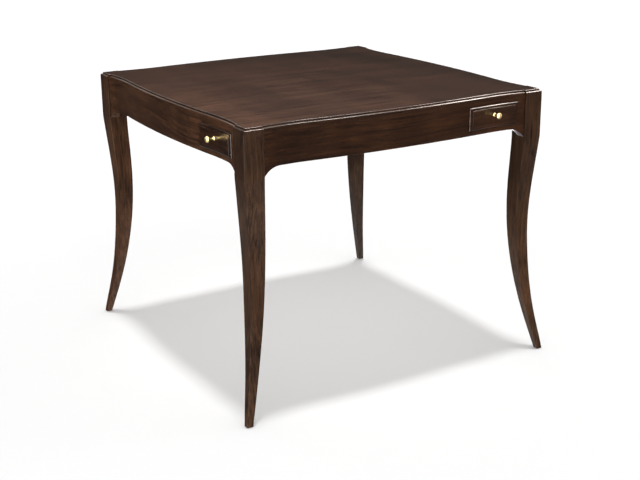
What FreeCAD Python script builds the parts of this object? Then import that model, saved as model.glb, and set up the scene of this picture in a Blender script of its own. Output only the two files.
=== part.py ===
import FreeCAD, Part
import math
import os

# Square games table: serpentine aprons between curved legs, a small drawer in each side.
# Millimetres, +Z up. The origin is on the floor under the centre of the top.
# Each piece is drawn for the south side, which faces -Y, or for the south-west corner,
# and is then turned a quarter, a half and three quarters about the centre.

# Whole table
table_height = 762.0
post_span = 916.0  # across the outer faces of two corner posts
post_width = 55.0

# Top
top_thickness = 19.0
edge_width = 5.5  # from the apron face in to the edge of the flat field
bead_radius = 5.0
bead_drop = 4.6  # top of the bead below the top surface
field_arris = 2.4

# Serpentine face, measured from the plane of the post faces
bow_rise = 3.0
hollow_depth = 10.3
hollow_from_seam = 83.0
seam_setback = 4.5

# Aprons
apron_depth = 85.0
apron_back = 31.0
bracket_drop = 25.0
bracket_radius = 59.0
tenon_thickness = 10.0
tenon_length = 25.0
tenon_inset = 14.0
tenon_shoulder = 12.0
tenon_end_gap = 1.0
joint_gap = 0.1

# Legs
knee_gap = 1.0  # the knee below the foot of the apron's bracket
foot_width = 17.0
foot_flare = 25.0
waist_inset = 15.3
leg_arris = 1.5
foot_arris = 1.3
foot_ease = 1.0
# Height of the leg below the knee, then how much of the flare, the inset and the
# swelling from foot to post each station has.
leg_station_shares = [
    (0.000, 1.00, 0.00, 0.000),
    (0.127, 0.43, 0.00, 0.155),
    (0.253, 0.00, 0.10, 0.300),
    (0.396, 0.00, 0.67, 0.475),
    (0.554, 0.00, 1.00, 0.625),
    (0.712, 0.00, 0.91, 0.755),
    (0.854, 0.00, 0.49, 0.875),
    (0.949, 0.00, 0.16, 0.950),
    (1.000, 0.00, 0.00, 1.000),
]

# Foot glides
glide_radius = 5.5
glide_height = 1.5
glide_pin_radius = 1.5
glide_pin_length = 12.0

# Drawer fronts
front_width = 165.0
front_height = 62.0
front_drop = 28.0
front_from_seam = 24.0
front_border = 8.0
lip_lift = 5.0
lip_gap = 0.4
lip_cover = 8.0
lip_round = 4.0
field_lift = 6.4
field_round = 0.4
front_back = 26.0

# Drawer boxes
box_clearance = 1.0
side_thickness = 10.0
rebate_depth = 12.0
back_thickness = 10.0
dado_depth = 4.0
bottom_thickness = 4.0
bottom_lift = 6.0
bottom_groove = 5.0
drawer_reach = 285.0
drawer_travel = 180.0
stop_gap = 1.0
lug_width = 80.0
lug_height = 9.0

# Runners and stop rails
runner_web = 14.0
runner_flange = 12.0
runner_foot = 12.5
runner_overlap = 8.0
side_gap = 0.5
seat_gap = 0.3
rail_thickness = 20.0
rail_gap = 2.0

# Corner blocks
block_length = 60.0
block_thickness = 18.0
block_height = 40.0

# Wood screws
screw_length = 30.0
screw_radius = 2.0
screw_head_radius = 4.0
screw_head_height = 2.2
screw_tip = 4.0
screw_gap = 0.1
block_screw_depth = 18.0
runner_screw_shares = (0.12, 0.82)
rail_screw_shares = (0.2, 0.8)
block_screw_shares = (0.25, 0.75)

# Knobs
knob_radius = 8.2
knob_projection = 25.5
knob_lift = 4.5  # axis above the middle of the drawer front
knob_screw_radius = 1.75
knob_screw_hold = 7.0
knob_screw_head_radius = 4.0
knob_screw_head_height = 2.4
knob_screw_room = 0.2
# Turned profile as radius and distance from the drawer: the collar, the waist and the head.
# Each curve runs through its first, second and third point.
collar_shares = [(0.54, 0.0), (0.66, 0.08), (0.42, 0.17)]
waist_shares = [(0.42, 0.17), (0.33, 0.38), (0.46, 0.62)]
head_shares = [(0.46, 0.62), (1.00, 0.795), (0.46, 0.97)]

# General
overrun = 5.0  # how far a cutting shape runs past what it cuts
match = 0.001  # how closely two places agree when an edge is looked up
sides = ["south", "east", "north", "west"]
corners = ["south_west", "south_east", "north_east", "north_west"]

# Places worked out from the sizes
half_span = post_span / 2
seam = half_span - post_width
underside = table_height - top_thickness
apron_bottom = underside - apron_depth
apron_back_y = apron_back - half_span
knee = apron_bottom - bracket_drop - knee_gap
tenon_y = tenon_inset - half_span

# The face is three tangent arcs: a bow in the middle and a hollow at each end
hollow_x = seam - hollow_from_seam
bow_to_hollow = bow_rise + hollow_depth
centres_apart = (hollow_x**2 + bow_to_hollow**2) / (2 * bow_to_hollow)
hollow_end_lift = hollow_depth - seam_setback
hollow_radius = (hollow_from_seam**2 + hollow_end_lift**2) / (2 * hollow_end_lift)
bow_radius = centres_apart - hollow_radius
bow_centre_y = bow_radius - bow_rise - half_span
hollow_centre_y = hollow_depth - hollow_radius - half_span

front_right = seam - front_from_seam
front_left = front_right - front_width
front_top = table_height - front_drop
front_low = front_top - front_height
front_x = (front_left + front_right) / 2
knob_z = (front_low + front_top) / 2 + knob_lift
front_back_y = front_back - half_span

open_left = front_left + lip_cover
open_right = front_right - lip_cover
open_low = front_low + lip_cover
open_top = front_top - lip_cover
box_left = open_left + box_clearance
box_right = open_right - box_clearance
box_low = open_low + box_clearance
box_top = open_top - box_clearance
side_front_y = front_back_y - rebate_depth
drawer_rear_y = front_back_y + drawer_reach
back_front_y = drawer_rear_y - back_thickness
bottom_z = box_low + bottom_lift
bottom_top = bottom_z + bottom_thickness

runner_low = box_low - seat_gap - runner_foot
runner_rear_y = drawer_rear_y + runner_overlap
rail_rear_y = back_front_y - drawer_travel - stop_gap
rail_front_y = rail_rear_y - rail_thickness

centre = FreeCAD.Vector(0, 0, 0)
along_x = FreeCAD.Vector(1, 0, 0)
along_y = FreeCAD.Vector(0, 1, 0)
up = FreeCAD.Vector(0, 0, 1)


def turned(shape, quarters):
    """A copy of a shape, turned by quarters of a circle about the table's centre."""
    copy = shape.copy()
    copy.rotate(centre, up, 90 * quarters)
    return copy


def block(x_from, x_to, y_from, y_to, z_from, z_to):
    corner = FreeCAD.Vector(x_from, y_from, z_from)
    return Part.makeBox(x_to - x_from, y_to - y_from, z_to - z_from, corner)


def arc(points):
    return Part.Arc(*[FreeCAD.Vector(*p) for p in points]).toShape()


def lines(points):
    vectors = [FreeCAD.Vector(*p) for p in points]
    return [Part.makeLine(a, b) for a, b in zip(vectors, vectors[1:])]


def face_of(edges):
    return Part.Face(Part.Wire(Part.__sortEdges__(edges)))


def face_y(x, out):
    """Where the serpentine face is at x, moved outwards by out."""
    turn_x = hollow_x * (bow_radius + out) / centres_apart
    if abs(x) <= turn_x:
        return bow_centre_y - math.sqrt((bow_radius + out) ** 2 - x**2)
    return hollow_centre_y + math.sqrt((hollow_radius - out) ** 2 - (abs(x) - hollow_x) ** 2)


def face_edges(x_from, x_to, out):
    """The arcs of the serpentine face from x_from to x_to, moved outwards by out."""
    turn_x = hollow_x * (bow_radius + out) / centres_apart
    turns = [x for x in (-turn_x, turn_x) if x_from < x < x_to]
    stops = [x_from] + turns + [x_to]
    spans = [(a, (a + b) / 2, b) for a, b in zip(stops, stops[1:])]
    return [arc([(x, face_y(x, out), 0) for x in span]) for span in spans]


def serpentine_slab(x_from, x_to, out, back_y, z_from, z_to):
    """A slab with the serpentine face in front and a flat back."""
    front = face_edges(x_from, x_to, out)
    back = lines([
        (x_from, face_y(x_from, out), 0),
        (x_from, back_y, 0),
        (x_to, back_y, 0),
        (x_to, face_y(x_to, out), 0),
    ])
    slab = face_of(front + back).extrude(up * (z_to - z_from))
    slab.translate(up * z_from)
    return slab


def curved_board(x_from, x_to, out, back_out, z_from, z_to):
    """A board whose front and back both follow the serpentine face."""
    ends = [lines([(x, face_y(x, out), 0), (x, face_y(x, back_out), 0)])[0] for x in (x_from, x_to)]
    edges = face_edges(x_from, x_to, out) + face_edges(x_from, x_to, back_out) + ends
    board = face_of(edges).extrude(up * (z_to - z_from))
    board.translate(up * z_from)
    return board


def screw(head, direction, gap):
    """A countersunk wood screw from the middle of its head, larger all round by gap."""
    shank_length = screw_length - screw_head_height - screw_tip
    neck = head + direction * screw_head_height
    tip = neck + direction * shank_length
    cone = Part.makeCone(
        screw_head_radius + gap, screw_radius + gap, screw_head_height, head, direction)
    shank = Part.makeCylinder(screw_radius + gap, shank_length, neck, direction)
    point = Part.makeCone(screw_radius + gap, gap, screw_tip + gap, tip, direction)
    return cone.fuse([shank, point]).removeSplitter()


def block_screw_places():
    """Two screws from the block into the apron and one up into the top."""
    inner_y = apron_back_y + block_thickness
    z = underside - block_height / 2
    into_apron = [
        (FreeCAD.Vector(share * block_length - seam, inner_y, z), -along_y)
        for share in block_screw_shares
    ]
    head = FreeCAD.Vector(
        block_length / 2 - seam, apron_back_y + block_thickness / 2, underside - block_screw_depth)
    return into_apron + [(head, up)]


def runner_screw_places(hand):
    flange_x = runner_flange / 2
    x = box_right - flange_x if hand == "right" else box_left + flange_x
    length = runner_rear_y - apron_back_y
    z = box_top + side_gap
    return [
        (FreeCAD.Vector(x, apron_back_y + share * length, z), up)
        for share in runner_screw_shares
    ]


def rail_screw_places():
    length = box_right - box_left
    y = (rail_front_y + rail_rear_y) / 2
    return [
        (FreeCAD.Vector(box_left + share * length, y, box_top + rail_gap), up)
        for share in rail_screw_shares
    ]


def side_screw_places():
    runners = runner_screw_places("left") + runner_screw_places("right")
    return block_screw_places() + runners + rail_screw_places()


def drilled(shape, places):
    """The shape with a hole for each of the screws."""
    return shape.cut([screw(head, direction, screw_gap) for head, direction in places])


def fixing_screws():
    one_side = Part.makeCompound([screw(h, d, 0) for h, d in side_screw_places()])
    return Part.makeCompound([s for q in range(len(sides)) for s in turned(one_side, q).Solids])


def top_panel():
    """The flat field of the top, whose edge steps in at each seam as the frame does."""
    corner = half_span - edge_width
    seam_y = face_y(seam, -edge_width)
    left = lines([(-corner, -corner, 0), (-seam, -corner, 0), (-seam, seam_y, 0)])
    right = lines([(seam, seam_y, 0), (seam, -corner, 0), (corner, -corner, 0)])
    one_side = left + face_edges(-seam, seam, -edge_width) + right
    outline = [turned(edge, q) for q in range(len(sides)) for edge in one_side]
    panel = face_of(outline).extrude(up * top_thickness)
    panel.translate(up * underside)
    arrises = [e for e in panel.Edges if e.BoundBox.ZMin > table_height - match]
    panel = panel.makeFillet(field_arris, arrises)
    for q in range(len(sides)):
        holes = [screw(h, d, screw_gap) for h, d in side_screw_places() if d == up]
        panel = panel.cut([turned(hole, q) for hole in holes])
    return panel


def edge_profile():
    """Section of the moulded edge in the plane x = 0, with the apron face at y = 0."""
    crown_z = table_height - bead_drop
    slant = bead_radius * (1 - math.sqrt(1 / 2))
    crown = (0, bead_radius, crown_z)
    shoulder = (0, slant, crown_z - slant)
    foot = (0, 0, crown_z - bead_radius)
    inner = edge_width - joint_gap
    back = lines([foot, (0, 0, underside), (0, inner, underside), (0, inner, crown_z), crown])
    return face_of([arc([crown, shoulder, foot])] + back)


def moulded_run(x, y, pivot_y, angle_from, angle_to):
    """The edge section at x and y, swept round an upright axis at x and pivot_y."""
    section = edge_profile()
    section.translate(FreeCAD.Vector(x, y, 0))
    pivot = FreeCAD.Vector(x, pivot_y, 0)
    section.rotate(pivot, up, math.degrees(angle_from))
    return section.revolve(pivot, up, math.degrees(angle_to - angle_from))


def top_edge():
    """One side's moulded edge: the serpentine run, an ear over each post, mitred ends."""
    half_turn = math.asin(hollow_x / centres_apart)
    seam_turn = math.asin((hollow_from_seam + overrun) / hollow_radius)
    bow = moulded_run(0, -bow_rise - half_span, bow_centre_y, -half_turn, half_turn)
    hollow = moulded_run(hollow_x, hollow_depth - half_span, hollow_centre_y, -seam_turn, half_turn)
    run = bow.fuse([hollow, hollow.mirror(centre, along_x)])
    reach = half_span + overrun
    run = run.common(block(-seam, seam, -reach, 0, 0, table_height))
    ear = edge_profile()
    ear.translate(FreeCAD.Vector(seam, -half_span, 0))
    ear = ear.extrude(along_x * (reach - seam))
    wedge = face_of(lines([(0, 0, 0), (-reach, -reach, 0), (reach, -reach, 0), (0, 0, 0)]))
    edge = run.fuse([ear, ear.mirror(centre, along_x)])
    return edge.common(wedge.extrude(up * table_height)).removeSplitter()


def tenon(end, gap):
    """The tenon at the left or right end of an apron, larger by gap for its mortise."""
    end_gap = tenon_end_gap if gap else 0
    tongue = block(
        seam, seam + tenon_length + end_gap,
        tenon_y - gap, tenon_y + tenon_thickness + gap,
        apron_bottom + tenon_shoulder - gap, underside - tenon_shoulder + gap)
    return tongue if end == "right" else tongue.mirror(centre, along_x)


def under_apron():
    """What is cut away below the apron: a level edge with a cove down to each post."""
    cove_run = math.sqrt(bracket_radius**2 - (bracket_radius - bracket_drop) ** 2)
    cove_turn = math.asin(cove_run / bracket_radius)
    cove_z = apron_bottom - bracket_radius
    front = -half_span - bow_rise - overrun
    floor = apron_bottom - bracket_drop - overrun
    right = []
    for turn in (0, cove_turn / 2, cove_turn):
        x = seam - cove_run + bracket_radius * math.sin(turn)
        right.append((x, front, cove_z + bracket_radius * math.cos(turn)))
    left = [(-x, y, z) for x, y, z in right]
    below = [right[-1], (seam, front, floor), (-seam, front, floor), left[-1]]
    edges = [arc(left), arc(right)] + lines([left[0], right[0]]) + lines(below)
    return face_of(edges).extrude(along_y * -front)


def apron():
    board = serpentine_slab(-seam, seam, 0, apron_back_y, apron_bottom - bracket_drop, underside)
    opening = block(open_left, open_right, -post_span, 0, open_low, open_top)
    board = board.cut([under_apron(), opening])
    board = board.fuse([tenon("left", 0), tenon("right", 0)]).removeSplitter()
    return drilled(board, block_screw_places())


def rounded_square(outer, width, radius, z):
    """A square with rounded corners whose outer corner is at the south-west."""
    low = radius - outer
    high = width - radius - outer
    middles = [(low, low), (high, low), (high, high), (low, high)]
    arcs = []
    for quarter, (x, y) in enumerate(middles):
        start = math.pi + quarter * math.pi / 2
        turns = [start, start + math.pi / 4, start + math.pi / 2]
        arcs.append([(x + radius * math.cos(t), y + radius * math.sin(t), z) for t in turns])
    sides_between = [lines([a[-1], b[0]])[0] for a, b in zip(arcs, arcs[1:] + arcs[:1])]
    edges = [edge for points, side in zip(arcs, sides_between) for edge in (arc(points), side)]
    return Part.Wire(edges)


def leg_section(height_share, flare_share, inset_share, width_share):
    outer = half_span + foot_flare * flare_share - waist_inset * inset_share
    width = foot_width + (post_width - foot_width) * width_share
    radius = foot_arris + (leg_arris - foot_arris) * width_share
    return rounded_square(outer, width, radius, glide_height + (knee - glide_height) * height_share)


def leg():
    sections = [leg_section(*shares) for shares in leg_station_shares]
    shaft = Part.makeLoft(sections, True, False)
    foot_rim = [e for e in shaft.Edges if e.BoundBox.ZMax < glide_height + match]
    shaft = shaft.makeFillet(foot_ease, foot_rim)
    post = Part.Face(sections[-1]).extrude(up * (underside - knee))
    mortises = [tenon("left", joint_gap), turned(tenon("right", joint_gap), -1)]
    return shaft.fuse(post).cut(mortises + [glide_pin(joint_gap)])


def foot_middle():
    place = foot_width / 2 - half_span - foot_flare
    return FreeCAD.Vector(place, place, 0)


def glide_pin(gap):
    seat = foot_middle() + up * glide_height
    return Part.makeCylinder(glide_pin_radius + gap, glide_pin_length + gap, seat, up)


def foot_glides():
    disc = Part.makeCylinder(glide_radius, glide_height, foot_middle(), up)
    glide = disc.fuse(glide_pin(0)).removeSplitter()
    return Part.makeCompound([turned(glide, q) for q in range(len(corners))])


def corner_block():
    left = -seam
    shape = block(
        left, left + block_length,
        apron_back_y, apron_back_y + block_thickness,
        underside - block_height, underside)
    head = block_screw_places()[-1][0]
    sink = Part.makeCylinder(
        screw_head_radius + screw_gap, block_height - block_screw_depth, head, -up)
    return drilled(shape.cut(sink), block_screw_places())


def rounded_board(x_from, x_to, lift, z_from, z_to, radius):
    """A board on the serpentine face, standing out by lift, with its front edges rounded."""
    board = curved_board(x_from, x_to, lift, lip_gap, z_from, z_to)
    front_edges = []
    for edge in board.Edges:
        box = edge.BoundBox
        on_front = all(abs(v.Y - face_y(v.X, lift)) < match for v in edge.Vertexes)
        inside = box.XMin > x_from + match and box.XMax < x_to - match
        if on_front and (not inside or box.ZLength < match):
            front_edges.append(edge)
    return board.makeFillet(radius, front_edges)


def drawer_front():
    lip = rounded_board(front_left, front_right, lip_lift, front_low, front_top, lip_round)
    field = rounded_board(
        front_left + front_border, front_right - front_border, field_lift,
        front_low + front_border, front_top - front_border, field_round)
    plug = serpentine_slab(box_left, box_right, lip_lift / 2, front_back_y, box_low, box_top)
    rebates = [
        block(x, x + side_thickness, side_front_y, front_back_y, box_low, box_top)
        for x in (box_left, box_right - side_thickness)
    ]
    groove = block(
        box_left, box_right, front_back_y - bottom_groove, front_back_y,
        bottom_z - joint_gap, bottom_top + joint_gap)
    hole = knob_screw_hole()
    return lip.fuse([field, plug]).removeSplitter().cut(rebates + [groove, hole])


def drawer_side(hand):
    side = block(
        box_left, box_left + side_thickness, side_front_y, drawer_rear_y, box_low, box_top)
    inner = box_left + side_thickness
    groove = block(
        inner - bottom_groove, inner, side_front_y, drawer_rear_y,
        bottom_z - joint_gap, bottom_top + joint_gap)
    dado = block(
        inner - dado_depth, inner, back_front_y - joint_gap, drawer_rear_y,
        bottom_top, box_top)
    side = side.cut([groove, dado])
    return side if hand == "left" else side.mirror(FreeCAD.Vector(front_x, 0, 0), along_x)


def drawer_back():
    """Stands on the bottom, with a lug on top that meets the stop rail."""
    inset = side_thickness - dado_depth + joint_gap
    board = block(
        box_left + inset, box_right - inset, back_front_y, drawer_rear_y,
        bottom_top + joint_gap, box_top)
    half_lug = lug_width / 2
    lug = block(
        front_x - half_lug, front_x + half_lug, back_front_y, drawer_rear_y,
        bottom_top + joint_gap, box_top + lug_height)
    return board.fuse(lug).removeSplitter()


def drawer_bottom():
    inset = side_thickness - bottom_groove + joint_gap
    front = front_back_y - bottom_groove + joint_gap
    return block(
        box_left + inset, box_right - inset, front, drawer_rear_y, bottom_z, bottom_top)


def knob_seat_y():
    """The drawer's face under the knob, at the side of the collar that stands out further."""
    collar = knob_radius * collar_shares[1][0]
    return min(face_y(x, field_lift) for x in (front_x - collar, front_x + collar))


def knob_screw_hole():
    start = FreeCAD.Vector(front_x, front_back_y, knob_z)
    length = front_back_y - knob_seat_y() + overrun
    return Part.makeCylinder(knob_screw_radius + knob_screw_room, length, start, -along_y)


def knob():
    """Collar, waist and head as turned, with a shallow dome of a sphere on the end."""
    seat = knob_seat_y()
    curves = []
    for shares in (collar_shares, waist_shares, head_shares):
        points = [(front_x + r * knob_radius, seat - d * knob_projection, knob_z) for r, d in shares]
        curves.append(arc(points))
    end = (front_x, seat - knob_projection, knob_z)
    rim = points[-1]
    rim_radius = rim[0] - front_x
    rise = rim[1] - end[1]
    sphere = (rim_radius**2 + rise**2) / (2 * rise)
    sag = sphere - math.sqrt(sphere**2 - (rim_radius / 2) ** 2)
    curves.append(arc([rim, (front_x + rim_radius / 2, end[1] + sag, knob_z), end]))
    base = (front_x + collar_shares[0][0] * knob_radius, seat, knob_z)
    axle = FreeCAD.Vector(front_x, seat, knob_z)
    turning = face_of(curves + lines([end, tuple(axle), base])).revolve(axle, along_y, 360)
    hole_radius = knob_screw_radius + screw_gap
    hole = Part.makeCylinder(hole_radius, knob_screw_hold + screw_gap, axle, -along_y)
    return turning.cut(hole)


def knob_screw():
    start = FreeCAD.Vector(front_x, front_back_y, knob_z)
    length = front_back_y - knob_seat_y() + knob_screw_hold
    shank = Part.makeCylinder(knob_screw_radius, length, start, -along_y)
    head = Part.makeCylinder(knob_screw_head_radius, knob_screw_head_height, start, along_y)
    return shank.fuse(head).removeSplitter()


def runner(hand):
    """A rail with a groove for the drawer's side, closed below and above it."""
    web_from = box_right + side_gap
    flange_from = box_right - runner_flange
    web_to = web_from + runner_web
    rail = block(flange_from, web_to, apron_back_y, runner_rear_y, runner_low, underside)
    groove = block(
        flange_from, web_from, apron_back_y, runner_rear_y, box_low - seat_gap, box_top + side_gap)
    rail = rail.cut(groove)
    if hand == "left":
        rail = rail.mirror(FreeCAD.Vector(front_x, 0, 0), along_x)
    return drilled(rail, runner_screw_places(hand))


def stop_rail():
    rail = block(
        box_left + runner_flange, box_right - runner_flange,
        rail_front_y, rail_rear_y, box_top + rail_gap, underside)
    return drilled(rail, rail_screw_places())


def write(name, shape):
    shape.exportStep("parts/" + name + ".step")


os.makedirs("parts", exist_ok=True)

side_pieces = {
    "top_edge": top_edge(),
    "apron": apron(),
    "runner_left": runner("left"),
    "runner_right": runner("right"),
    "stop_rail": stop_rail(),
    "drawer_front": drawer_front(),
    "drawer_side_left": drawer_side("left"),
    "drawer_side_right": drawer_side("right"),
    "drawer_back": drawer_back(),
    "drawer_bottom": drawer_bottom(),
    "knob": knob(),
    "knob_screw": knob_screw(),
}
corner_pieces = {"leg": leg(), "corner_block": corner_block()}

for pieces, places in ((side_pieces, sides), (corner_pieces, corners)):
    for piece, shape in pieces.items():
        for quarters, place in enumerate(places):
            write(piece + "_" + place, turned(shape, quarters))

write("top_panel", top_panel())
write("foot_glides", foot_glides())
write("fixing_screws", fixing_screws())
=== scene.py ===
import cmath
import math

import bmesh
import bpy
from mathutils import Matrix, Vector


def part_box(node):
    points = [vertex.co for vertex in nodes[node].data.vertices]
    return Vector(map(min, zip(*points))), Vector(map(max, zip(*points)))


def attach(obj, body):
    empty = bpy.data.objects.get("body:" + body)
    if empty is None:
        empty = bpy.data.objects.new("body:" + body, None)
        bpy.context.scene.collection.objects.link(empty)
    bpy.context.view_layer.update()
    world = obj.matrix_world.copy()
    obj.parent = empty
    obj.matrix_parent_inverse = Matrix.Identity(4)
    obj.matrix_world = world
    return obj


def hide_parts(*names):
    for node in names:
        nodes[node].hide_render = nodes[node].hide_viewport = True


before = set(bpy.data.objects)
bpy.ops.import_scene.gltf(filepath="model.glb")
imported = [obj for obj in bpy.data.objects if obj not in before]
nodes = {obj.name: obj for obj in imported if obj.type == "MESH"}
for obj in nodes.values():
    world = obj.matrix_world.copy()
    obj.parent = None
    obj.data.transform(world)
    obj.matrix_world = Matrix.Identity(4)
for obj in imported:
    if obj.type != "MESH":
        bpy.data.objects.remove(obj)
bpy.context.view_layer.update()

scene = bpy.context.scene
SIDES = ("south", "east", "north", "west")
CORNERS = ("south_west", "south_east", "north_east", "north_west")
MM = 0.001
QUARTER = math.pi / 2

# Camera fitted to the outlines of the table: place in metres, angles in degrees, lens and sensor in mm
CAMERA_PLACE = (-1.7102, -2.8882, 1.3767)
CAMERA_AZIMUTH, CAMERA_ELEVATION, CAMERA_ROLL = -30.981, 18.059, -0.474
CAMERA_LENS, CAMERA_SENSOR = 66.88, 36.0

# Sizes that the pieces made here share with the solids, in millimetres
TABLE_HEIGHT, UNDERSIDE = 762.0, 743.0
HALF_SPAN, SEAM = 458.0, 403.0
BOW_RISE, HOLLOW_DEPTH, HOLLOW_FROM_SEAM, SEAM_SETBACK = 3.0, 10.3, 83.0, 4.5
EDGE_WIDTH, EDGE_GAP, BEAD_RADIUS, BEAD_DROP, FIELD_ARRIS = 5.5, 0.1, 5.0, 4.6, 2.4
CORNER_ROUND = 2.0
APRON_BOTTOM, APRON_BACK_Y, BRACKET_DROP, BRACKET_RADIUS, APRON_ARRIS = 658.0, -427.0, 25.0, 59.0, 0.8
TENON_LENGTH, TENON_Y, TENON_THICKNESS, TENON_SHOULDER = 25.0, -444.0, 10.0, 12.0
OPEN_LEFT, OPEN_RIGHT, OPEN_LOW, OPEN_TOP = 222.0, 371.0, 680.0, 726.0
FRONT_LEFT, FRONT_RIGHT, FRONT_LOW, FRONT_TOP = 214.0, 379.0, 672.0, 734.0
FRONT_BORDER, LIP_GAP, LIP_LIFT, LIP_ROUND, FIELD_LIFT, FIELD_ROUND = 8.0, 0.4, 5.0, 4.0, 6.4, 0.6
PLUG_INSET, SIDE_THICKNESS, REBATE_Y, FRONT_BACK_Y, DRAWER_REAR_Y = 9.0, 10.0, -444.0, -432.0, -147.0
KNOB_X, KNOB_Z, KNOB_RADIUS, KNOB_PROJECTION = 296.5, 707.5, 8.2, 25.5
FOOT_MIDDLE = 474.5

# How many steps the curves are drawn in
SERPENTINE_STEPS, APRON_STEPS, COVE_STEPS, FRONT_STEPS = 160, 120, 20, 48
ROUND_STEPS, LIPPING_STEPS, CORNER_STEPS, EAR_STEPS, ARRIS_STEPS = 10, 8, 6, 4, 3
KNOB_ARC_STEPS, KNOB_FACETS = 14, 48

# Points nearer than this are one point
SAME_POINT = 0.01 * MM
# Edges that turn by more than these angles are shaded sharp, or eased
SHARP_FROM, EASED_FROM = math.radians(32), math.radians(40)

# The serpentine face is three tangent arcs: a bow in the middle and a hollow at each end
HOLLOW_X = SEAM - HOLLOW_FROM_SEAM
BOW_TO_HOLLOW = BOW_RISE + HOLLOW_DEPTH
CENTRES_APART = (HOLLOW_X**2 + BOW_TO_HOLLOW**2) / (2 * BOW_TO_HOLLOW)
HOLLOW_RISE = HOLLOW_DEPTH - SEAM_SETBACK
HOLLOW_RADIUS = (HOLLOW_FROM_SEAM**2 + HOLLOW_RISE**2) / (2 * HOLLOW_RISE)
BOW_RADIUS = CENTRES_APART - HOLLOW_RADIUS
BOW_CENTRE_Y = BOW_RADIUS - BOW_RISE - HALF_SPAN
HOLLOW_CENTRE_Y = HOLLOW_DEPTH - HOLLOW_RADIUS - HALF_SPAN


def tone(hex_value):
    """An sRGB hex colour as linear RGBA."""
    shares = [int(hex_value[i:i + 2], 16) / 255 for i in (1, 3, 5)]
    return (*(s / 12.92 if s <= 0.04045 else ((s + 0.055) / 1.055) ** 2.4 for s in shares), 1.0)


def add(tree, kind, inputs=(), stops=(), **settings):
    """Adds a node with its settings. Each input is a value, a socket, a node whose first output in use is
    linked, or a list of nodes to link. Stops are the places and colours of a colour ramp."""
    node = tree.nodes.new(kind)
    for name, value in settings.items():
        setattr(node, name, value)
    for number, (place, colour) in enumerate(stops):
        elements = node.color_ramp.elements
        element = elements[number] if number < 2 else elements.new(1.0)
        element.position, element.color = place, tone(colour)
    for name, values in dict(inputs).items():
        for value in values if isinstance(values, list) else [values]:
            if isinstance(value, bpy.types.Node):
                value = next(socket for socket in value.outputs if socket.enabled)
            if isinstance(value, bpy.types.NodeSocket):
                tree.links.new(value, node.inputs[name])
            else:
                node.inputs[name].default_value = value
    return node


def new_material(name):
    material = bpy.data.materials.new(name)
    material.use_nodes = True
    material.node_tree.nodes.clear()
    return material, material.node_tree


def surfaced(material, inputs):
    """Ends a material. What is the same all over it is set on the shader's own sockets."""
    tree = material.node_tree
    surface = add(tree, "ShaderNodeBsdfPrincipled", inputs)
    add(tree, "ShaderNodeOutputMaterial", {"Surface": surface})
    return material


# Turns that bring a board's grain onto X
GRAIN_TURNS = {"x": (0, 0, 0), "y": (0, 0, -QUARTER), "z": (0, QUARTER, 0)}


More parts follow.
